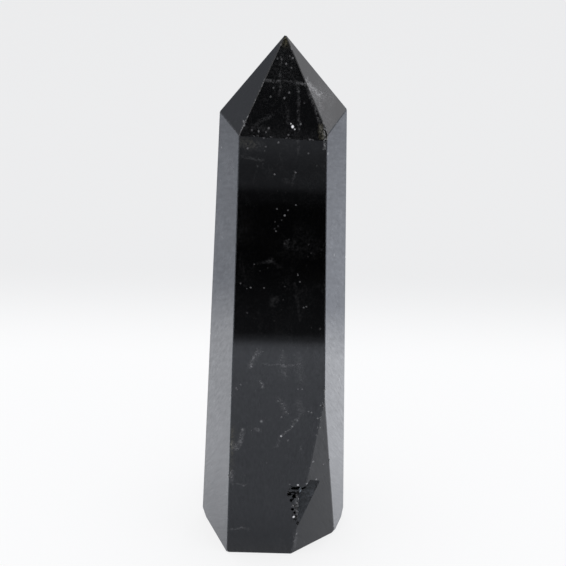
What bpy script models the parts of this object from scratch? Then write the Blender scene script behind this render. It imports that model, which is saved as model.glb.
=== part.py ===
"""Morion crystal point: a standing, six-sided point of black smoky quartz with lapped and polished faces.

The crystal is one solid. It is cut from a block by the planes of its faces, as a lapidary cuts it: six prism
faces that lean inwards, six rhombohedral faces that meet at the tip, and one extra facet at the foot of the
front-right edge. The wheel didn't reach the bottom of one growth step there, which stays as a natural recess
with an etched pocket beside it. Small chips sit along the edges.

Lengths are in metres, +Z is up, -Y is the front. The crystal stands on its flat base at z = 0.
"""

import math
import random
from collections import namedtuple

import bmesh
import bpy
from mathutils import Matrix, Vector

MM = 0.001

HEIGHT = 108.0 * MM
TIP_OFF_AXIS = (0.3 * MM, 1.0 * MM)
BLOCK_WIDTH = 60.0 * MM
BLOCK_SPARE = 5.0 * MM
EDGE_CHAMFER = 0.14 * MM
WELD_DISTANCE = 0.26 * MM

# A face that looks `turn` degrees round from the front, towards +X. Its plane stands `reach` from the axis at
# the height of the base and leans inwards, going up, by `lean` degrees.
PrismFace = namedtuple("PrismFace", "turn lean reach")
PRISM_FACES = {
    "front": PrismFace(-0.2, 2.5, 15.8 * MM),
    "right": PrismFace(74.3, 2.0, 14.75 * MM),
    "back_right": PrismFace(119.0, 0.7, 13.6 * MM),
    "back": PrismFace(180.6, 1.5, 15.75 * MM),
    "back_left": PrismFace(-118.0, 1.95, 13.35 * MM),
    "left": PrismFace(-68.8, 1.75, 14.5 * MM),
}
FOOT_FACET = PrismFace(42.8, -4.45, 14.35 * MM)

# A face of the termination: where it looks, and its slope from the horizontal. All of them meet at the tip.
TipFace = namedtuple("TipFace", "turn slope")
TIP_FACES = {
    "front": TipFace(1.4, 51.8),
    "right": TipFace(74.0, 53.5),
    "back_right": TipFace(119.0, 53.0),
    "back": TipFace(180.6, 51.5),
    "back_left": TipFace(-118.0, 56.6),
    "left": TipFace(-66.8, 51.3),
}

# The growth step that the polishing left: a sloping floor, the wall on its left, and the broken ledge above it,
# whose two stretches lie on the foot facet and on the front. `fall` is how much a stretch falls to the right.
RECESS_BLOCK = 24.0 * MM
RECESS_FOOT = Vector((5.5, -15.3, 6.9)) * MM
RECESS_FLOOR = PrismFace(6.0, 15.5, 0.0)
RECESS_WALL = PrismFace(68.0, 3.0, 0.0)
Ledge = namedtuple("Ledge", "point turn fall")
RECESS_LEDGES = [
    Ledge(Vector((8.7, -13.3, 16.8)) * MM, FOOT_FACET.turn, 25.5),
    Ledge(Vector((5.6, -15.1, 15.6)) * MM, 0.0, -42.0),
]
LEDGE_UNDERCUT = 8.0

# A hollow that etching ate into the polished face: its centre, and its width, depth and height.
Hollow = namedtuple("Hollow", "across deep up width depth height")
ROUGH_POCKET = [
    Hollow(4.7, -15.3, 15.2, 3.6, 1.5, 2.6),
    Hollow(4.9, -15.3, 12.7, 2.3, 1.3, 3.2),
    Hollow(4.8, -15.5, 9.6, 1.3, 1.0, 3.0),
]
ETCHED_HOLES = [
    Hollow(3.3, -15.2, 14.4, 0.9, 1.6, 0.8),
    Hollow(4.4, -14.9, 15.6, 1.5, 2.6, 0.9),
    Hollow(5.4, -14.7, 15.9, 1.5, 2.6, 0.9),
    Hollow(6.1, -13.0, 14.75, 1.5, 2.0, 0.65),
    Hollow(5.2, -14.9, 14.6, 0.9, 1.8, 0.8),
    Hollow(4.4, -15.0, 13.8, 1.0, 2.0, 1.0),
    Hollow(3.9, -15.1, 13.0, 0.9, 1.8, 0.9),
    Hollow(4.1, -15.2, 10.9, 0.8, 1.6, 0.6),
    Hollow(4.6, -15.3, 9.9, 0.5, 1.4, 0.9),
    Hollow(5.3, -15.5, 7.5, 0.6, 1.6, 1.1),
]
POCKET_FINENESS = 3
HOLE_FINENESS = 2
HOLLOW_SEED = 7
HOLLOW_ROUGHNESS = 0.16
HOLLOW_TILT = 14.0

# A chip on the edge between two faces, at a height, and its size across.
Chip = namedtuple("Chip", "one other up size")
EDGE_CHIPS = [
    Chip("front", "right", 38.9, 0.8),
    Chip("front", "foot", 35.2, 0.9),
    Chip("foot", "right", 20.4, 0.8),
    Chip("front", "left", 18.4, 0.9),
    Chip("tip_front", "tip_left", 94.2, 0.8),
    Chip("tip_front", "tip_right", 93.4, 0.9),
    Chip("right", "back_right", 61.0, 0.7),
    Chip("back", "back_left", 70.0, 0.8),
    Chip("left", "back_left", 44.0, 0.7),
    Chip("back", "back_right", 12.0, 0.9),
]
CHIP_FINENESS = 1

MORION = (0.012, 0.011, 0.012, 1.0)
MORION_ROUGHNESS = 0.05
QUARTZ_IOR = 1.544


def clear_scene():
    for obj in list(bpy.data.objects):
        bpy.data.objects.remove(obj, do_unlink=True)


def collection(name):
    made = bpy.data.collections.new(name)
    bpy.context.scene.collection.children.link(made)
    return made


def outward(turn, rise):
    """The direction that looks `turn` round from the front and `rise` above the horizontal, in degrees."""
    turn, rise = math.radians(turn), math.radians(rise)
    return Vector((math.sin(turn) * math.cos(rise), -math.cos(turn) * math.cos(rise), math.sin(rise)))


def prism_plane(face):
    """A point on the face's plane, and the plane's outward direction."""
    return outward(face.turn, 0.0) * face.reach, outward(face.turn, face.lean)


def tip_plane(face):
    return Vector((*TIP_OFF_AXIS, HEIGHT)), outward(face.turn, 90.0 - face.slope)


def face_planes():
    """The plane of every face of the crystal, by name."""
    planes = {name: prism_plane(face) for name, face in PRISM_FACES.items()}
    planes["foot"] = prism_plane(FOOT_FACET)
    planes.update({f"tip_{name}": tip_plane(face) for name, face in TIP_FACES.items()})
    return planes


def block(width, low, high, centre=(0.0, 0.0)):
    """A square block of this width between two heights."""
    mesh = bmesh.new()
    bmesh.ops.create_cube(mesh, size=1.0)
    bmesh.ops.scale(mesh, vec=(width, width, high - low), verts=mesh.verts)
    bmesh.ops.translate(mesh, vec=(*centre, (low + high) / 2), verts=mesh.verts)
    return mesh


def cut_away(mesh, point, direction):
    """Cuts off what lies beyond the plane, on the side that the direction points to, and closes the cut."""
    everything = mesh.verts[:] + mesh.edges[:] + mesh.faces[:]
    cut = bmesh.ops.bisect_plane(
        mesh, geom=everything, dist=1e-7, plane_co=point, plane_no=direction, clear_outer=True
    )
    rim = [item for item in cut["geom_cut"] if isinstance(item, bmesh.types.BMEdge)]
    bmesh.ops.edgeloop_fill(mesh, edges=rim)


def finished_object(name, mesh, home):
    bmesh.ops.recalc_face_normals(mesh, faces=mesh.faces)
    data = bpy.data.meshes.new(name)
    mesh.to_mesh(data)
    mesh.free()
    made = bpy.data.objects.new(name, data)
    home.objects.link(made)
    return made


def lapped_crystal(home):
    """The block cut down to the crystal's flat faces, with the thin chamfer that polishing leaves on its edges."""
    mesh = block(BLOCK_WIDTH, 0.0, HEIGHT + BLOCK_SPARE)
    for plane in face_planes().values():
        cut_away(mesh, *plane)
    bmesh.ops.remove_doubles(mesh, verts=mesh.verts, dist=WELD_DISTANCE)
    bmesh.ops.bevel(
        mesh,
        geom=mesh.edges[:],
        offset=EDGE_CHAMFER,
        offset_type="OFFSET",
        segments=1,
        profile=0.5,
        affect="EDGES",
        clamp_overlap=True,
        material=-1,
    )
    return finished_object("crystal_point", mesh, home)


def ledge_direction(ledge):
    """The upward direction of the ledge's underside, which rises a little going in."""
    along = outward(ledge.turn + 90.0, -ledge.fall)
    into = -outward(ledge.turn, -LEDGE_UNDERCUT)
    return along.cross(into)


def recess_cutter(home):
    """The wedge of rock that is missing in front of the growth step's floor."""
    low = RECESS_FOOT.z - RECESS_BLOCK / 2
    mesh = block(RECESS_BLOCK, low, low + 2 * RECESS_BLOCK, centre=RECESS_FOOT.xy)
    cut_away(mesh, RECESS_FOOT, -outward(RECESS_FLOOR.turn, RECESS_FLOOR.lean))
    cut_away(mesh, RECESS_FOOT, -outward(RECESS_WALL.turn, RECESS_WALL.lean))
    for ledge in RECESS_LEDGES:
        cut_away(mesh, ledge.point, ledge_direction(ledge))
    return finished_object("recess_cutter", mesh, home)


def on_edge(chip):
    """The chip as a hollow, centred on the edge where its two faces meet."""
    planes = face_planes()
    level = Vector((0.0, 0.0, chip.up * MM)), Vector((0.0, 0.0, 1.0))
    meeting = [planes[chip.one], planes[chip.other], level]
    place = Matrix([direction for _, direction in meeting]).inverted() @ Vector(
        [point.dot(direction) for point, direction in meeting]
    )
    return Hollow(*(place / MM), chip.size, chip.size, chip.size)


def hollow_cutter(name, hollow, fineness, dice, home):
    """A rough, angular lump that leaves an etched hollow or a chip."""
    mesh = bmesh.new()
    bmesh.ops.create_icosphere(mesh, subdivisions=fineness, radius=0.5)
    for vert in mesh.verts:
        vert.co *= 1.0 + dice.uniform(-HOLLOW_ROUGHNESS, HOLLOW_ROUGHNESS)
    size = Vector((hollow.width, hollow.depth, hollow.height)) * MM
    bmesh.ops.scale(mesh, vec=size, verts=mesh.verts)
    tilt = Matrix.Rotation(math.radians(dice.uniform(-HOLLOW_TILT, HOLLOW_TILT)), 3, "Y")
    bmesh.ops.rotate(mesh, verts=mesh.verts, matrix=tilt)
    place = Vector((hollow.across, hollow.deep, hollow.up)) * MM
    bmesh.ops.translate(mesh, vec=place, verts=mesh.verts)
    return finished_object(name, mesh, home)


def cut_with(body, cutter):
    cut = body.modifiers.new(cutter.name, "BOOLEAN")
    cut.operation = "DIFFERENCE"
    cut.solver = "EXACT"
    cut.object = cutter


def hide_cutter(cutter):
    cutter.hide_render = True
    cutter.display_type = "WIRE"


def morion():
    material = bpy.data.materials.new("morion")
    material.use_nodes = True
    shader = material.node_tree.nodes["Principled BSDF"]
    shader.inputs["Base Color"].default_value = MORION
    shader.inputs["Roughness"].default_value = MORION_ROUGHNESS
    shader.inputs["Metallic"].default_value = 0.0
    shader.inputs["IOR"].default_value = QUARTZ_IOR
    return material


def main():
    clear_scene()
    crystal = collection("morion_crystal")
    cutters = collection("cutters")
    body = lapped_crystal(crystal)
    body.data.materials.append(morion())
    dice = random.Random(HOLLOW_SEED)
    hollows = [(hollow, POCKET_FINENESS) for hollow in ROUGH_POCKET]
    hollows += [(hollow, HOLE_FINENESS) for hollow in ETCHED_HOLES]
    hollows += [(on_edge(chip), CHIP_FINENESS) for chip in EDGE_CHIPS]
    made = [recess_cutter(cutters)]
    for number, (hollow, fineness) in enumerate(hollows, start=1):
        made.append(hollow_cutter(f"hollow_cutter_{number}", hollow, fineness, dice, cutters))
    for cutter in made:
        cut_with(body, cutter)
        hide_cutter(cutter)


main()
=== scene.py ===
"""A standing point of morion, the black smoky quartz: its polish, its veils and specks, and its studio."""

import math
from functools import reduce

import bmesh
import bpy
from mathutils import Matrix, Vector


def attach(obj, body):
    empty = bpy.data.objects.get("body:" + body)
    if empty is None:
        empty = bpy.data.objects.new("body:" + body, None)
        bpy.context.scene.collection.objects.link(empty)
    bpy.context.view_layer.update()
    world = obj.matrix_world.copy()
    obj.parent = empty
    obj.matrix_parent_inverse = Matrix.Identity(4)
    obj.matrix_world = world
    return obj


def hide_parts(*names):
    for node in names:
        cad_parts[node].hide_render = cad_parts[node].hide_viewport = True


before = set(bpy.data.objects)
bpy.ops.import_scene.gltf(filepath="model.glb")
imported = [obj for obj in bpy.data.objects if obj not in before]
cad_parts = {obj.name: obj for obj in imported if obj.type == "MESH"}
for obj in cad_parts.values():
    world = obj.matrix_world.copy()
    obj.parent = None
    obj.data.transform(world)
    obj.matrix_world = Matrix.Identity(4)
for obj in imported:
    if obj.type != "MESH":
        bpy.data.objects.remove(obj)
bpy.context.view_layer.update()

MM = 0.001
CAD_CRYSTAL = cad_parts["crystal_point"]

# Camera: where it stands, how it looks, a lens for the 566 x 566 frame, and how near and far it sees.
IMAGE_WIDTH = 566
SENSOR_WIDTH = 36.0
FOCAL_PIXELS = 1700.0
CAMERA_PLACE = Vector((1.0, -311.8, 207.64)) * MM
CAMERA_DIP = math.radians(26.0)
CAMERA_ROLL = math.radians(1.4)
CAMERA_CLIP = (0.01, 20.0)

# Floor: it glows brighter in a rounded pool about the crystal than on the sweep behind. The fold is where one
# goes over into the other, in metres from the middle. Distances across count for less than those in depth.
FLOOR_WIDTH = 6.0
FLOOR_COLOUR = 0.19
FLOOR_TINT = (0.98, 0.99, 1.0)
FLOOR_ROUGHNESS = 0.9
NEAR_GLOW = 0.767
FAR_GLOW = 0.633
FLOOR_FOLD = (0.066, 0.125)
ACROSS_COUNTS = 0.45
POOL_SQUARENESS = 4.0
FLOOR_GAP = 0.02 * MM

# The unlit floor under the foot: its share of the foot's width, and how far down the foot's faces look.
FOOT_SHARE = 0.995
FOOT_DOWNWARD = -0.99

# Light: an even sky and one softbox overhead, in metres and watts, and the tints that light has.
SKY_LEVEL = 0.88
SKY_TINT = (0.985, 0.99, 1.03)
SOFTBOX_PLACE = Vector((0.0, 0.15, 0.8))
SOFTBOX_AIM = Vector((0.0, 0.0, 0.0))
SOFTBOX_WIDTH = 0.6
SOFTBOX_POWER = 2.0
WHITE = (1.0, 1.0, 1.0)
COOL = (0.95, 1.0, 1.12)
PALE = (0.97, 0.995, 1.06)

# What the polish mirrors instead of the floor: a floor with levels of its own, by depth in metres. It is pale
# where the crystal stands and cool elsewhere.
MIRROR_DROP = 0.2 * MM
MIRROR_REACH = 0.6
MIRROR_PEAK = 1.3
PALE_STRETCH = (-0.012, 0.062)
MIRROR_LEVELS = (
    # From the near edge down into a dark strip in front.
    (-0.322, 0.37),
    (-0.292, 0.21),
    (-0.272, 0.21),
    (-0.2672, 0.165),
    (-0.2640, 0.085),
    (-0.2618, 0.052),
    (-0.2515, 0.044),
    (-0.2465, 0.018),
    (-0.190, 0.018),
    # Out of the strip, over a sharp edge.
    (-0.136, 0.090),
    (-0.1327, 0.14),
    (-0.1321, 0.18),
    (-0.1298, 0.55),
    (-0.1286, 0.73),
    (-0.1252, 0.98),
    (-0.121, 1.06),
    # Up to the crystal and a little past it.
    (-0.105, 0.95),
    (-0.060, 0.83),
    (-0.022, 0.77),
    (-0.012, 1.01),
    (0.001, 1.20),
    (0.062, 1.27),
    # The sweep, with a dark strip behind.
    (0.088, 0.76),
    (0.150, 0.72),
    (0.200, 0.60),
    (0.252, 0.58),
    (0.266, 0.10),
    (0.285, 0.03),
    (0.345, 0.03),
    (0.362, 0.20),
    (0.380, 0.42),
)

# The mirrored floor is shaded near the foot, by (distance from the axis, level), and mottled. Its spots are
# drawn round the crystal and outwards from it.
FOOT_SHADE = ((0.010, 0.80), (0.044, 1.0))
MOTTLE_ROUND = 250.0
MOTTLE_OUTWARD = (0.0, 0.0, 400.0)
MOTTLE = 0.80

# Cards that show only as reflections, and are turned to the crown: name, place, width in metres and level.
CROWN_MIDDLE = Vector((0.0, -4.0, 98.0)) * MM
FLAGS = (
    ("left_flag", Vector((-362.0, 320.0, 224.0)) * MM, 0.30, 0.40),
    ("front_flag", Vector((25.0, -737.0, 614.0)) * MM, 1.30, 0.075),
)

# Morion: quartz whose smoke colour swallows light within a few millimetres. The tint on its surface keeps it
# near-black wherever the absorption is left out.
QUARTZ_IOR = 1.544
SMOKE_COLOUR = (0.40, 0.36, 0.20, 1.0)
SMOKE_DENSITY = 2200.0
SMOKE_TINT = (0.005, 0.0042, 0.003, 1.0)
POLISH = 0.02
# The white of milky veils, bruises and painted glints.
MILK_AND_GLINT_WHITE = (0.92, 0.92, 0.94, 1.0)
# The blue-white of the natural faces' frosting, and of the painted glints on them.
FROST_AND_GLINT_TINT = (0.78, 0.88, 1.0, 1.0)
# The colour of painted light shining through the thin tip, the shoulders and the left edge.
THROUGH_LIGHT_AMBER = (0.84, 0.76, 0.42, 1.0)

# How much light the haze, wisps, dust and strewn specks of a polished face send back, and how closely the
# specks lie, in cells to the millimetre.
CLEAN_FACE = {"haze": 0.003, "wisps": 0.004, "dust": 0.0008, "specks": 0.09, "crowd": 0.7}
CLOUDED_FACE = {"haze": 0.013, "wisps": 0.035, "dust": 0.005, "specks": 0.40, "crowd": 0.45}

# Strewn specks: their least size and how much more the largest has, in cells, and how rare large and bright
# ones are.
SPECK_LEAST = 0.035
SPECK_GROWTH = 0.17
LARGE_RARITY = 3.0
BRIGHT_RARITY = 2.0

# How much light the powder and dust on the faces that aren't polished send back.
NATURAL_POWDER = 0.014
NATURAL_DUST = 0.008
PIT_POWDER = 0.004
CHIP_POWDER = 0.11
CHIP_DUST = 0.01

# The least that counts as light, where painted through-light and milky veils are weighed against each other.
NO_LIGHT = 0.0001

# Shape: what counts as one point or one flat face, and what tells the finishes apart. The crown's and the
# front's faces look forwards, along -Y, at least this far, and the crown's also upwards.
MERGE_REACH = 0.001 * MM
FLAT_ANGLE = math.radians(0.3)
LAPPED_FACE = 60.0 * MM * MM
POLISHED_DEPTH = 0.05 * MM
NATURAL_FACE = 1.0 * MM * MM
BEVEL_WIDTH = 0.4 * MM
POCKET_MIDDLE = Vector((4.7, -15.0, 12.0)) * MM
POCKET_REACH = 7.5 * MM
CROWN_FORWARD = -0.1
CROWN_UPWARD = 0.3
FRONT_FORWARD = -0.5

# Corners of the foot that wear has rubbed round: which way each one points, in degrees, and how much is gone,
# in millimetres. Each takes a lower cut and a steeper one: how far it looks down, and its share of the wear.
# A cut that would start above the foot's height isn't made.
FOOT_HEIGHT = 1.0 * MM
WORN_CORNERS = (
    (180.0, 0.70),
    (0.0, 0.42),
    (-29.0, 0.15),
    (-120.0, 0.12),
    (60.0, 0.30),
    (120.0, 0.25),
)
WEAR_CUTS = ((0.9, 1.0), (0.35, 0.62))

# Flaws under the polish, painted glints and painted light shining through thin edges, by how much light they
# send back and their half width in millimetres. A speck or glint is a place, (across, up) on the faces that
# look forwards, and a veil runs along such places.
# The two brightest rows, near 2 across and 93.5 up, are a painted glint on the crown; the rest are pale
# specks in the stone.
CROWN_SPECKS_AND_GLINTS = (
    (1.00, 0.27, [(2.1, 93.5)]),
    (0.45, 0.16, [(1.75, 93.95), (2.5, 93.1)]),
    (0.14, 0.20, [(8.1, 92.4), (-7.2, 94.0), (-7.0, 93.6)]),
    (0.100, 0.22, [
        (1.3, 98.8), (0.4, 97.9), (3.6, 93.9), (-2.4, 93.2), (-4.3, 92.7), (1.8, 104.2), (0.6, 103.3),
    ]),
    (0.065, 0.20, [
        (-1.1, 104.1), (-0.3, 104.0), (1.6, 102.7), (-2.2, 98.1), (3.1, 99.0), (-1.7, 99.5), (-5.6, 92.9),
        (-2.9, 92.6),
    ]),
)
CROWN_VEILS = (
    (0.050, 0.30, [((-3.3, 100.7), (-1.6, 100.6), (-0.6, 100.5)), ((2.6, 100.4), (4.4, 100.0))]),
    (0.024, 0.30, [((-0.6, 100.5), (2.6, 100.4)), ((-0.4, 104.7), (-0.5, 98.6)), ((3.0, 99.8), (3.3, 92.7))]),
    (0.006, 1.2, [((-7.0, 93.0), (-1.0, 92.4), (6.0, 92.2))]),
    (0.008, 3.2, [((0.2, 105.6), (0.2, 101.4))]),
    (0.025, 1.1, [((8.4, 94.4), (9.2, 93.2))]),
    (0.012, 0.45, [((-2.0, 95.2), (-5.0, 93.6)), ((0.8, 97.0), (1.2, 94.2)), ((-5.8, 93.4), (-2.6, 93.0))]),
    (0.180, 0.34, [((4.5, 100.5), (5.2, 99.5), (6.3, 98.3)), ((6.3, 98.3), (7.3, 97.3))]),
    (0.060, 0.60, [((5.4, 99.0), (6.6, 97.4), (8.2, 96.6)), ((6.9, 97.2), (7.6, 95.6))]),
    (0.030, 1.20, [((6.4, 98.3), (9.6, 95.5))]),
    (0.030, 0.32, [((4.7, 99.5), (6.0, 96.9), (7.0, 94.7), (7.9, 92.7))]),
    (0.035, 0.50, [((7.5, 93.4), (8.1, 91.6))]),
    (0.150, 0.22, [((8.0, 92.9), (8.2, 91.6))]),
)
# Painted light shining through the thin tip and the right shoulder.
CROWN_THROUGH_LIGHT = (
    (0.045, 1.3, [((0.3, 108.2), (0.3, 107.2))]),
    (0.030, 0.7, [((7.6, 93.4), (7.8, 91.6))]),
)
# Those in the pocket, 4 to 9 across and below 18 up, are painted glints; the rest are pale specks in the
# stone.
FRONT_SPECKS_AND_GLINTS = (
    (0.75, 0.22, [(4.4, 8.9)]),
    (0.42, 0.24, [(1.4, 28.0)]),
    (0.45, 0.25, [(5.1, 16.7), (6.85, 17.0)]),
    (0.19, 0.20, [(5.7, 15.2)]),
    (0.150, 0.22, [
        (1.0, 76.1), (3.6, 30.3), (-2.7, 31.3), (-4.9, 43.6), (4.1, 11.5), (8.1, 22.0), (8.9, 16.9),
        (5.0, 12.3), (5.1, 4.8),
    ]),
    (0.110, 0.21, [
        (-5.3, 60.8), (-1.1, 84.4), (7.4, 33.6), (2.9, 84.9), (-6.3, 89.5), (-0.5, 90.8), (-2.8, 39.9),
        (8.7, 32.3), (4.6, 31.7), (9.2, 35.3), (-8.6, 18.1),
    ]),
    (0.075, 0.20, [
        (3.1, 78.3), (-0.5, 77.4), (1.6, 77.2), (-0.6, 72.8), (3.9, 63.7), (4.3, 62.3), (5.2, 56.8),
        (5.7, 57.0), (-2.7, 60.8), (5.4, 38.8), (4.5, 38.8), (-7.9, 38.7), (-7.7, 38.4), (1.4, 35.4),
        (2.2, 33.6), (0.6, 36.0), (1.9, 34.5), (3.4, 16.8), (-6.1, 16.2), (5.2, 88.8), (-2.9, 89.9),
        (-3.3, 91.6), (2.2, 29.1), (6.8, 33.8), (-7.0, 39.5), (10.3, 20.0), (9.3, 30.0),
    ]),
    (0.070, 0.38, [(-2.7, 31.3)]),
    (0.035, 0.18, [
        (-0.8, 74.7), (-0.2, 73.9), (0.4, 75.1), (-0.9, 73.3), (1.1, 70.3), (1.9, 71.1), (5.8, 70.2),
        (6.3, 68.4),
    ]),
)
FRONT_VEILS = (
    (0.060, 0.34, [((-3.9, 46.5), (-4.9, 45.0), (-5.0, 43.4)), ((1.1, 44.1), (1.9, 43.9))]),
    (0.045, 0.26, [((-3.9, 47.4), (-3.9, 46.5), (-2.7, 47.0)), ((1.3, 47.2), (1.1, 45.2))]),
    (0.035, 0.24, [((-2.6, 44.2), (1.1, 44.1)), ((1.9, 43.9), (4.8, 44.4)), ((1.3, 43.0), (2.2, 41.6))]),
    (0.035, 0.50, [((4.0, 31.5), (4.7, 31.8))]),
    (0.065, 0.36, [((-3.8, 29.5), (-3.0, 29.2)), ((-2.9, 40.2), (-2.6, 39.1))]),
    (0.020, 0.80, [
        ((0.9, 36.2), (1.6, 35.2), (2.2, 33.4)), ((4.8, 35.8), (5.4, 33.2)), ((-3.5, 47.1), (-5.0, 43.9)),
    ]),
    (0.010, 0.90, [((-0.5, 58.4), (-0.8, 57.4))]),
    (0.013, 0.60, [((1.4, 70.6), (1.7, 69.6)), ((1.0, 83.3), (1.2, 82.9))]),
    (0.008, 0.45, [((-4.1, 65.9), (-1.6, 66.6), (0.5, 65.2)), ((3.2, 61.8), (4.5, 54.1))]),
    (0.018, 0.55, [((-2.0, 66.5), (-1.4, 66.7))]),
    (0.016, 0.32, [((-7.5, 87.9), (-3.4, 87.2)), ((2.8, 85.0), (2.2, 82.4)), ((3.2, 91.4), (3.3, 88.6))]),
    (0.020, 0.26, [((5.5, 25.9), (5.5, 24.0)), ((1.0, 27.0), (0.7, 25.6)), ((-8.4, 16.6), (-5.6, 16.5))]),
    (0.032, 0.30, [((-9.2, 5.5), (-6.7, 6.0), (-4.6, 5.9))]),
    (0.026, 0.45, [((4.8, 5.6), (4.9, 1.4))]),
    (0.030, 0.30, [((4.9, 32.2), (3.4, 30.2)), ((3.0, 29.6), (1.3, 27.9), (0.2, 25.4))]),
    (0.070, 0.50, [((-6.4, 29.2), (-6.8, 26.8), (-7.6, 24.8))]),
    (0.045, 0.50, [((-7.8, 26.0), (-8.3, 24.4)), ((-8.4, 19.5), (-8.6, 17.4))]),
    (0.090, 0.26, [((-8.9, 19.2), (-9.0, 18.2))]),
    (0.120, 0.22, [((8.2, 91.6), (8.2, 89.6))]),
    (0.014, 1.10, [((-7.4, 90.4), (-4.2, 90.0)), ((1.2, 45.6), (1.6, 41.6)), ((4.4, 46.4), (5.0, 40.8))]),
    (0.050, 0.60, [((-8.6, 25.8), (-7.9, 25.4))]),
)
# Painted light shining through the thin left edge and the left shoulder.
FRONT_THROUGH_LIGHT = (
    (0.026, 0.75, [((-8.8, 29.6), (-8.8, 24.0))]),
    (0.050, 0.45, [((-9.1, 29.2), (-9.1, 25.6))]),
    (0.010, 0.70, [((-8.6, 22.6), (-8.8, 19.8))]),
    (0.012, 1.0, [((-7.4, 90.6), (-5.4, 90.4))]),
)
# Painted glints in and about the pocket.
POCKET_GLINTS = (
    (1.00, 0.27, [(4.4, 8.9)]),
    (0.45, 0.28, [(5.1, 16.6), (6.85, 16.9)]),
    (0.30, 0.30, [(5.65, 14.5), (4.1, 11.5)]),
    (0.16, 0.30, [(5.6, 15.1), (5.0, 12.0)]),
    (0.10, 0.26, [(8.7, 16.8), (5.1, 10.4), (4.9, 13.7), (3.9, 13.0)]),
)
POCKET_VEILS = ((0.05, 0.40, [((5.0, 14.2), (5.2, 9.4)), ((5.4, 11.4), (5.5, 6.4))]),)

# How far flaws wander from their places, in millimetres, and from how many half widths out, in to how many,
# their light rises.
VEIL_WANDER = 0.9
VEIL_EDGE = (1.5, 0.0)
SPECK_WANDER = 0.12
SPECK_EDGE = (1.25, 0.35)


def math_node(operation, reflected=False):
    """A method of Value that adds a Math node, with the two values swapped if it is a reflected form."""

    def method(self, other):
        first, second = (other, self) if reflected else (self, other)
        return self.nodes.value("ShaderNodeMath", {"operation": operation}, {0: first, 1: second})

    return method


class Value:
    """A number that a shader works out: a socket, with arithmetic that adds Math nodes."""

    def __init__(self, nodes, socket):
        self.nodes = nodes
        self.socket = socket

    __add__ = __radd__ = math_node("ADD")
    __mul__ = __rmul__ = math_node("MULTIPLY")
    __sub__ = math_node("SUBTRACT")
    __rsub__ = math_node("SUBTRACT", reflected=True)
    __truediv__ = math_node("DIVIDE")
    __rtruediv__ = math_node("DIVIDE", reflected=True)
    __pow__ = math_node("POWER")
    __rpow__ = math_node("POWER", reflected=True)
    least = math_node("MINIMUM")
    most = math_node("MAXIMUM")

    def __abs__(self):
        return self.nodes.value("ShaderNodeMath", {"operation": "ABSOLUTE"}, {0: self})


class Nodes:
    """The node tree of a material or a world, under construction."""

    def __init__(self, owner):
        owner.use_nodes = True
        self.owner = owner
        self.tree = owner.node_tree
        self.tree.nodes.clear()

    def add(self, kind, settings=None, sockets=None):
        """Adds a node: its settings first, then the values or links of its sockets."""
        node = self.tree.nodes.new(kind)
        for name, setting in (settings or {}).items():
            if name == "stops":
                set_stops(node.color_ramp, setting)
            else:
                setattr(node, name, setting)
        for name, value in (sockets or {}).items():
            target = node.inputs[name]
            value = value.socket if isinstance(value, Value) else value
            if isinstance(value, bpy.types.NodeSocket):
                self.tree.links.new(value, target)
            else:
                target.default_value = value
        return node

    def socket(self, kind, settings=None, sockets=None, output=0):
        """Adds a node, for a colour, a vector or a shader that comes out of it."""
        return self.add(kind, settings, sockets).outputs[output]

    def value(self, kind, settings=None, sockets=None, output=0):
        """Adds a node, for a number that comes out of it."""
        return Value(self, self.socket(kind, settings, sockets, output))

    def vector_math(self, operation, sockets):
        return self.add("ShaderNodeVectorMath", {"operation": operation}, sockets).outputs

    def vector(self, operation, *vectors):
        return self.vector_math(operation, dict(enumerate(vectors)))["Vector"]

    def scaled(self, vector, factor):
        return self.vector_math("SCALE", {0: vector, "Scale": factor})["Vector"]

    def measure(self, operation, *vectors):
        """A length, a distance or a dot product."""
        return Value(self, self.vector_math(operation, dict(enumerate(vectors)))["Value"])

    def noise(self, place, scale, detail, roughness=0.5, output="Fac"):
        sockets = {"Vector": place, "Scale": scale, "Detail": detail, "Roughness": roughness}
        return self.value("ShaderNodeTexNoise", None, sockets, output)

    def fade(self, value, start, end, from_level=0.0, to_level=1.0):
        """Goes smoothly from one level to the other while the value goes from start to end."""
        return self.value(
            "ShaderNodeMapRange",
            {"interpolation_type": "SMOOTHSTEP"},
            {"Value": value, "From Min": start, "From Max": end, "To Min": from_level, "To Max": to_level},
        )

    def finish(self, kind, surface, **others):
        """Adds the output, and gives back the material or world."""
        self.add(kind, sockets={"Surface": surface, **others})
        return self.owner


def set_stops(ramp, stops):
    while len(ramp.elements) < len(stops):
        ramp.elements.new(0.5)
    for element, (position, colour) in zip(ramp.elements, stops):
        element.position = position
        element.color = colour


def tinted(level, tint=WHITE):
    return (level * tint[0], level * tint[1], level * tint[2], 1.0)


def mesh_object(name, mesh, *materials):
    data = bpy.data.meshes.new(name)
    mesh.to_mesh(data)
    mesh.free()
    for material in materials:
        data.materials.append(material)
    made = bpy.data.objects.new(name, data)
    bpy.context.scene.collection.objects.link(made)
    return made


def aimed(place, aim, facing):
    """The matrix of a thing that stands at a place, with the axis it faces along turned to the aim."""
    turned = (aim - place).to_track_quat(facing, "Y").to_matrix().to_4x4()
    turned.translation = place
    return turned


# Camera and studio


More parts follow.
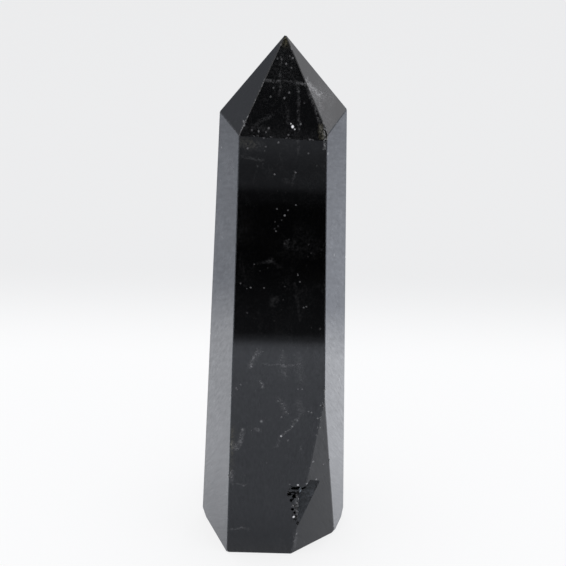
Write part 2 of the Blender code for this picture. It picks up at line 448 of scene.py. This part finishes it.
def make_camera():
    ahead = Vector((0.0, math.cos(CAMERA_DIP), -math.sin(CAMERA_DIP)))
    level_up = Vector((0.0, math.sin(CAMERA_DIP), math.cos(CAMERA_DIP)))
    level_right = Vector((1.0, 0.0, 0.0))
    right = level_right * math.cos(CAMERA_ROLL) + level_up * math.sin(CAMERA_ROLL)
    up = level_up * math.cos(CAMERA_ROLL) - level_right * math.sin(CAMERA_ROLL)
    data = bpy.data.cameras.new("camera")
    data.sensor_width = SENSOR_WIDTH
    data.lens = FOCAL_PIXELS * SENSOR_WIDTH / IMAGE_WIDTH
    data.clip_start, data.clip_end = CAMERA_CLIP
    made = bpy.data.objects.new("camera", data)
    placed = Matrix((right, up, -ahead)).transposed().to_4x4()
    placed.translation = CAMERA_PLACE
    made.matrix_world = placed
    bpy.context.scene.collection.objects.link(made)
    bpy.context.scene.camera = made


def floor_material():
    nodes = Nodes(bpy.data.materials.new("white_floor"))
    place = nodes.add("ShaderNodeTexCoord").outputs["Object"]
    split = nodes.add("ShaderNodeSeparateXYZ", sockets={0: place}).outputs
    across = Value(nodes, split["X"]) * ACROSS_COUNTS
    depth = Value(nodes, split["Y"])
    out = (across**POOL_SQUARENESS + depth**POOL_SQUARENESS) ** (1.0 / POOL_SQUARENESS)
    shader = nodes.socket(
        "ShaderNodeBsdfPrincipled",
        sockets={
            "Base Color": tinted(FLOOR_COLOUR, FLOOR_TINT),
            "Roughness": FLOOR_ROUGHNESS,
            "Specular IOR Level": 0.0,
            "Emission Color": tinted(1.0),
            "Emission Strength": nodes.fade(out, *FLOOR_FOLD, NEAR_GLOW, FAR_GLOW),
        },
    )
    return nodes.finish("ShaderNodeOutputMaterial", shader)


def glow_material(name, colour):
    """Plain light of one colour."""
    nodes = Nodes(bpy.data.materials.new(name))
    shader = nodes.socket("ShaderNodeEmission", sockets={"Color": colour})
    return nodes.finish("ShaderNodeOutputMaterial", shader)


def along_mirror(depth):
    """Where a depth lies between the two ends of the mirrored floor's levels, from 0 to 1."""
    return (depth / MIRROR_REACH + 1.0) / 2.0


def mirrored_floor_material():
    """Its levels run in depth, with a dark strip in front and one behind. It is mottled and shaded."""
    nodes = Nodes(bpy.data.materials.new("mirrored_floor"))
    place = nodes.add("ShaderNodeTexCoord").outputs["Object"]
    along = along_mirror(nodes.value("ShaderNodeSeparateXYZ", sockets={0: place}, output="Y"))
    stops = []
    for depth, level in MIRROR_LEVELS:
        tint = PALE if PALE_STRETCH[0] <= depth <= PALE_STRETCH[1] else COOL
        stops.append((along_mirror(depth), tinted(level / MIRROR_PEAK, tint)))
    levels = nodes.socket("ShaderNodeValToRGB", {"stops": stops}, {0: along}, "Color")
    from_axis = nodes.measure("LENGTH", place)
    (foot, shaded), (clear, lit) = FOOT_SHADE
    heading = nodes.vector("NORMALIZE", place)
    round_about = nodes.vector("MULTIPLY", heading, (MOTTLE_ROUND, MOTTLE_ROUND, MOTTLE_ROUND))
    drawn = nodes.vector("MULTIPLY_ADD", from_axis, MOTTLE_OUTWARD, round_about)
    mottle = nodes.noise(drawn, scale=1.0, detail=3.0)
    shade = nodes.fade(from_axis, foot, clear, shaded, lit) * (1.0 + (mottle - 0.5) * MOTTLE)
    shader = nodes.socket("ShaderNodeEmission", sockets={"Color": levels, "Strength": shade * MIRROR_PEAK})
    return nodes.finish("ShaderNodeOutputMaterial", shader)


def square(name, width, material):
    """A flat square that belongs to the studio."""
    mesh = bmesh.new()
    bmesh.ops.create_grid(mesh, x_segments=1, y_segments=1, size=width / 2.0)
    made = mesh_object(name, mesh, material)
    return made


def only_in_reflections(card):
    card.visible_camera = False
    card.visible_diffuse = False
    card.visible_transmission = False
    card.visible_shadow = False
    card.visible_volume_scatter = False


def make_foot_shadow(crystal):
    """The unlit floor under the crystal's own foot."""
    mesh = bmesh.new()
    mesh.from_mesh(crystal.data)
    others = [face for face in mesh.faces if face.normal.z > FOOT_DOWNWARD]
    bmesh.ops.delete(mesh, geom=others, context="FACES")
    bmesh.ops.reverse_faces(mesh, faces=mesh.faces)
    bmesh.ops.scale(mesh, vec=(FOOT_SHARE, FOOT_SHARE, 1.0), verts=mesh.verts)
    for face in mesh.faces:
        face.material_index = 0
    shadow = mesh_object("foot_shadow", mesh, glow_material("foot_shadow", tinted(0.0)))
    shadow.location.z = -FLOOR_GAP / 2
    shadow.visible_glossy = False


def make_sky():
    nodes = Nodes(bpy.data.worlds.new("studio"))
    sky = {"Color": tinted(1.0, SKY_TINT), "Strength": SKY_LEVEL}
    shader = nodes.socket("ShaderNodeBackground", sockets=sky)
    bpy.context.scene.world = nodes.finish("ShaderNodeOutputWorld", shader)


def make_softbox():
    data = bpy.data.lights.new("overhead", "AREA")
    data.shape = "SQUARE"
    data.size = SOFTBOX_WIDTH
    data.energy = SOFTBOX_POWER
    lamp = bpy.data.objects.new("overhead", data)
    lamp.matrix_world = aimed(SOFTBOX_PLACE, SOFTBOX_AIM, "-Z")
    bpy.context.scene.collection.objects.link(lamp)


def make_studio(crystal):
    floor = square("floor", FLOOR_WIDTH, floor_material())
    floor.location.z = -FLOOR_GAP
    floor.visible_glossy = False
    make_foot_shadow(crystal)
    mirrored = square("mirrored_floor", FLOOR_WIDTH, mirrored_floor_material())
    mirrored.location.z = -MIRROR_DROP
    only_in_reflections(mirrored)
    for name, place, width, level in FLAGS:
        flag = square(name, width, glow_material(name, tinted(level, COOL)))
        flag.matrix_world = aimed(place, CROWN_MIDDLE, "Z")
        only_in_reflections(flag)
    make_sky()
    make_softbox()


# What lies under the polish, and painted glints and through-light


def in_millimetres(nodes):
    return nodes.scaled(nodes.add("ShaderNodeTexCoord").outputs["Object"], 1.0 / MM)


def distance_to_run(nodes, place, start, end):
    """How far a place is from the straight stretch between two points."""
    run = end - start
    offset = nodes.vector("SUBTRACT", place, start)
    share = nodes.measure("DOT_PRODUCT", offset, run / run.length_squared)
    share = nodes.value("ShaderNodeClamp", sockets={"Value": share})
    return nodes.measure("LENGTH", nodes.vector("ADD", offset, nodes.scaled(-run, share)))


def distance_to(nodes, place, path):
    """How far, in millimetres, a place on the face is from a flaw that runs along these points."""
    points = [Vector((across, 0.0, up)) for across, up in path]
    if len(points) == 1:
        return nodes.measure("DISTANCE", place, points[0])
    runs = (distance_to_run(nodes, place, start, end) for start, end in zip(points, points[1:]))
    return reduce(Value.least, runs)


def on_front(nodes, place, wander):
    """Places across and up the front, led astray by up to half the wander."""
    astray = nodes.noise(place, scale=0.8, detail=4.0, output="Color")
    astray = nodes.vector("MULTIPLY_ADD", astray, (wander, 0.0, wander), (-wander / 2, 0.0, -wander / 2))
    return nodes.vector("MULTIPLY_ADD", place, (1.0, 0.0, 1.0), astray)


def grain(nodes, place):
    """Breaks a veil up into powder."""
    fine = nodes.noise(place, scale=2.3, detail=3.0, roughness=0.65)
    return nodes.fade(fine, start=0.40, end=0.64, from_level=0.18, to_level=1.55)


def flaw_light(nodes, place, flaws, edge):
    """The light that the flaws and the painted glints and through-light send back at a place. It rises from
    each one's outer edge to its inner one.
    """
    outer, inner = edge
    shares = (
        nodes.fade(
            reduce(Value.least, (distance_to(nodes, place, path) for path in paths)),
            start=half_width * outer,
            end=half_width * inner,
            to_level=light,
        )
        for light, half_width, paths in flaws
    )
    return reduce(Value.most, shares)


def placed_flaws_and_painted_light(nodes, place, specks, veils):
    """Veils, powdery and wandering, and specks as they are. Some are painted glints, and some painted light
    shining through thin edges.
    """
    powdery = flaw_light(nodes, on_front(nodes, place, VEIL_WANDER), veils, VEIL_EDGE) * grain(nodes, place)
    if not specks:
        return powdery
    dots = [(light, half_width, [(spot,) for spot in spots]) for light, half_width, spots in specks]
    return powdery.most(flaw_light(nodes, on_front(nodes, place, SPECK_WANDER), dots, SPECK_EDGE))


def strewn_specks_and_glints(nodes, place, crowd, light):
    """Small inclusions anywhere in the stone, most of them tiny, seen where a face comes near one. In the
    pits they serve as painted glints.
    """
    cells = nodes.add("ShaderNodeTexVoronoi", None, {"Vector": place, "Scale": crowd})
    random = nodes.add("ShaderNodeSeparateColor", None, {"Color": cells.outputs["Color"]})
    size = Value(nodes, random.outputs["Red"]) ** LARGE_RARITY * SPECK_GROWTH + SPECK_LEAST
    bright = Value(nodes, random.outputs["Green"]) ** BRIGHT_RARITY * light
    return nodes.fade(Value(nodes, cells.outputs["Distance"]) / size, start=1.2, end=0.4) * bright


def drifting_wisps(nodes, place, light):
    """Faint healed cracks that run mostly up the stone, thick in some places and missing in others."""
    drawn_up = nodes.vector("MULTIPLY", place, (1.0, 1.0, 0.4))
    ridges = abs(nodes.noise(drawn_up, scale=0.16, detail=5.0, roughness=0.6) - 0.5)
    where = nodes.noise(place, scale=0.11, detail=1.0)
    return nodes.fade(ridges, start=0.022, end=0.0) * nodes.fade(where, start=0.47, end=0.62, to_level=light)


def clouds(nodes, place, light, scale=0.14):
    drift = nodes.noise(place, scale, detail=5.0, roughness=0.6)
    return nodes.fade(drift, start=0.46, end=0.72, to_level=light)


# Finishes of the crystal


def quartz_nodes(name):
    """The nodes of a new material, and the place on the crystal in millimetres."""
    nodes = Nodes(bpy.data.materials.new(name))
    return nodes, in_millimetres(nodes)


def veiled_quartz(nodes, veil, colour, veil_roughness, roughness):
    """Clear smoky quartz, which turns to a powder of the veil's colour as far as the veil goes."""
    powder = nodes.socket(
        "ShaderNodeBsdfPrincipled",
        sockets={"Base Color": colour, "Roughness": veil_roughness, "IOR": QUARTZ_IOR},
    )
    clear = nodes.socket(
        "ShaderNodeBsdfPrincipled",
        sockets={
            "Base Color": SMOKE_TINT,
            "Roughness": roughness,
            "IOR": QUARTZ_IOR,
            "Transmission Weight": 1.0,
        },
    )
    surface = nodes.socket("ShaderNodeMixShader", sockets={0: veil, 1: clear, 2: powder})
    smoke = {"Color": SMOKE_COLOUR, "Density": SMOKE_DENSITY}
    volume = nodes.socket("ShaderNodeVolumeAbsorption", sockets=smoke)
    return nodes.finish("ShaderNodeOutputMaterial", surface, Volume=volume)


def polished_morion(name, face, specks=(), veils=(), through_light_marks=()):
    """Lapped and polished, with pale veils and specks just under the surface, painted glints among the
    specks, and painted light shining through thin edges in places.
    """
    nodes, place = quartz_nodes(name)
    rubbed = nodes.noise(place, scale=0.25, detail=3.0)
    roughness = nodes.fade(rubbed, start=0.35, end=0.7, from_level=POLISH, to_level=2.0 * POLISH)
    powder = grain(nodes, place)
    milk_and_painted_light = clouds(nodes, place, face["haze"]) + drifting_wisps(nodes, place, face["wisps"]) + face["dust"]
    milk_and_painted_light = (milk_and_painted_light * powder).most(strewn_specks_and_glints(nodes, place, face["crowd"], face["specks"]))
    colour = MILK_AND_GLINT_WHITE
    if veils:
        milk_and_painted_light = milk_and_painted_light.most(placed_flaws_and_painted_light(nodes, place, specks, veils))
        # Painted light shining through thin edges, mixed into the veil colour.
        through_light = placed_flaws_and_painted_light(nodes, place, (), through_light_marks)
        colour = nodes.socket(
            "ShaderNodeMix",
            {"data_type": "RGBA"},
            {"Factor": through_light / (through_light + milk_and_painted_light + NO_LIGHT), "A": MILK_AND_GLINT_WHITE, "B": THROUGH_LIGHT_AMBER},
            "Result",
        )
        milk_and_painted_light = milk_and_painted_light + through_light
    return veiled_quartz(nodes, milk_and_painted_light, colour, veil_roughness=POLISH, roughness=roughness)


def natural_quartz():
    """The growth faces that the wheel never reached: satin, a little frosted, with small painted glints."""
    nodes, place = quartz_nodes("natural_quartz")
    powder = clouds(nodes, place, light=0.030, scale=0.8) + grain(nodes, place) * NATURAL_POWDER
    frost_and_glints = powder + NATURAL_DUST
    # Painted glints over the frosting.
    frost_and_glints = frost_and_glints.most(placed_flaws_and_painted_light(nodes, place, POCKET_GLINTS, POCKET_VEILS))
    return veiled_quartz(nodes, frost_and_glints, FROST_AND_GLINT_TINT, veil_roughness=0.4, roughness=0.16)


def etched_pit():
    """The pocket's small holes and grains: bright glassy faces, black hollows and painted glints."""
    nodes, place = quartz_nodes("etched_pit")
    frost_and_glints = grain(nodes, place) * PIT_POWDER
    frost_and_glints = frost_and_glints.most(placed_flaws_and_painted_light(nodes, place, POCKET_GLINTS, POCKET_VEILS))
    # Painted glints strewn over the pits.
    frost_and_glints = frost_and_glints.most(strewn_specks_and_glints(nodes, place, crowd=1.5, light=0.45))
    return veiled_quartz(nodes, frost_and_glints, MILK_AND_GLINT_WHITE, veil_roughness=0.4, roughness=0.05)


def worn_edge():
    """The narrow bevels between the lapped faces, bruised here and there into pale powder."""
    nodes, place = quartz_nodes("worn_edge")
    bruises = nodes.noise(place, scale=0.9, detail=3.0, roughness=0.7)
    bruises = nodes.fade(bruises, start=0.52, end=0.70, from_level=0.005, to_level=0.12) * grain(nodes, place)
    return veiled_quartz(nodes, bruises, MILK_AND_GLINT_WHITE, veil_roughness=0.3, roughness=0.08)


def bruised_chip():
    """The shell-shaped chips on the edges: glassy, with a dull white bloom."""
    nodes, place = quartz_nodes("bruised_chip")
    bloom = grain(nodes, place) * CHIP_POWDER + CHIP_DUST
    return veiled_quartz(nodes, bloom, MILK_AND_GLINT_WHITE, veil_roughness=0.4, roughness=0.12)


# The crystal


def rub_corner(mesh, heading, wear):
    """Takes a corner of the foot off with a lower and a steeper cut."""
    outward = Vector((math.cos(heading), math.sin(heading), 0.0))
    for lean, share in WEAR_CUTS:
        cut = (outward - Vector((0.0, 0.0, lean))).normalized()
        tip = max(mesh.verts, key=lambda vert: vert.co.dot(cut))
        if tip.co.z > FOOT_HEIGHT:
            continue
        geometry = mesh.verts[:] + mesh.edges[:] + mesh.faces[:]
        inside = tip.co - cut * wear * share * MM
        opened = bmesh.ops.bisect_plane(mesh, geom=geometry, plane_co=inside, plane_no=cut, clear_outer=True)
        rim = [part for part in opened["geom_cut"] if isinstance(part, bmesh.types.BMEdge)]
        bmesh.ops.edgeloop_fill(mesh, edges=rim)


def finish_of(face, lapped):
    """Which finish a face gets, from its depth under the lapped faces, its size and the way it looks."""
    middle = face.calc_center_median()
    if min(reach - normal.dot(middle) for normal, reach in lapped) > POLISHED_DEPTH:
        if face.calc_area() > NATURAL_FACE:
            return "natural"
        return "pit" if (middle - POCKET_MIDDLE).length < POCKET_REACH else "chip"
    if 2.0 * face.calc_area() < BEVEL_WIDTH * sum(edge.calc_length() for edge in face.edges):
        return "edge"
    if face.normal.y < CROWN_FORWARD and face.normal.z > CROWN_UPWARD:
        return "crown"
    return "front" if face.normal.y < FRONT_FORWARD else "sides"


def make_crystal():
    """The point itself, from the frame's solid: each lapped face one flat face again, and the foot worn."""
    mesh = bmesh.new()
    mesh.from_mesh(CAD_CRYSTAL.data)
    bmesh.ops.remove_doubles(mesh, verts=mesh.verts, dist=MERGE_REACH)
    bmesh.ops.dissolve_limit(mesh, angle_limit=FLAT_ANGLE, verts=mesh.verts, edges=mesh.edges)
    large = [face for face in mesh.faces if face.calc_area() > LAPPED_FACE]
    lapped = [(face.normal.copy(), face.normal.dot(face.verts[0].co)) for face in large]
    for heading, wear in WORN_CORNERS:
        rub_corner(mesh, math.radians(heading), wear)
    bmesh.ops.remove_doubles(mesh, verts=mesh.verts, dist=MERGE_REACH)
    bmesh.ops.recalc_face_normals(mesh, faces=mesh.faces)
    finishes = {
        "sides": polished_morion("polished_sides", CLOUDED_FACE),
        "front": polished_morion("polished_front", CLEAN_FACE, FRONT_SPECKS_AND_GLINTS, FRONT_VEILS, FRONT_THROUGH_LIGHT),
        "crown": polished_morion("polished_crown", CLEAN_FACE, CROWN_SPECKS_AND_GLINTS, CROWN_VEILS, CROWN_THROUGH_LIGHT),
        "natural": natural_quartz(),
        "edge": worn_edge(),
        "pit": etched_pit(),
        "chip": bruised_chip(),
    }
    slots = list(finishes)
    for face in mesh.faces:
        face.material_index = slots.index(finish_of(face, lapped))
    piece = mesh_object("morion_point", mesh, *finishes.values())
    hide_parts("crystal_point")
    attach(piece, "root")
    return piece


def main():
    bpy.context.scene.view_settings.view_transform = "Standard"
    make_camera()
    make_studio(make_crystal())


main()
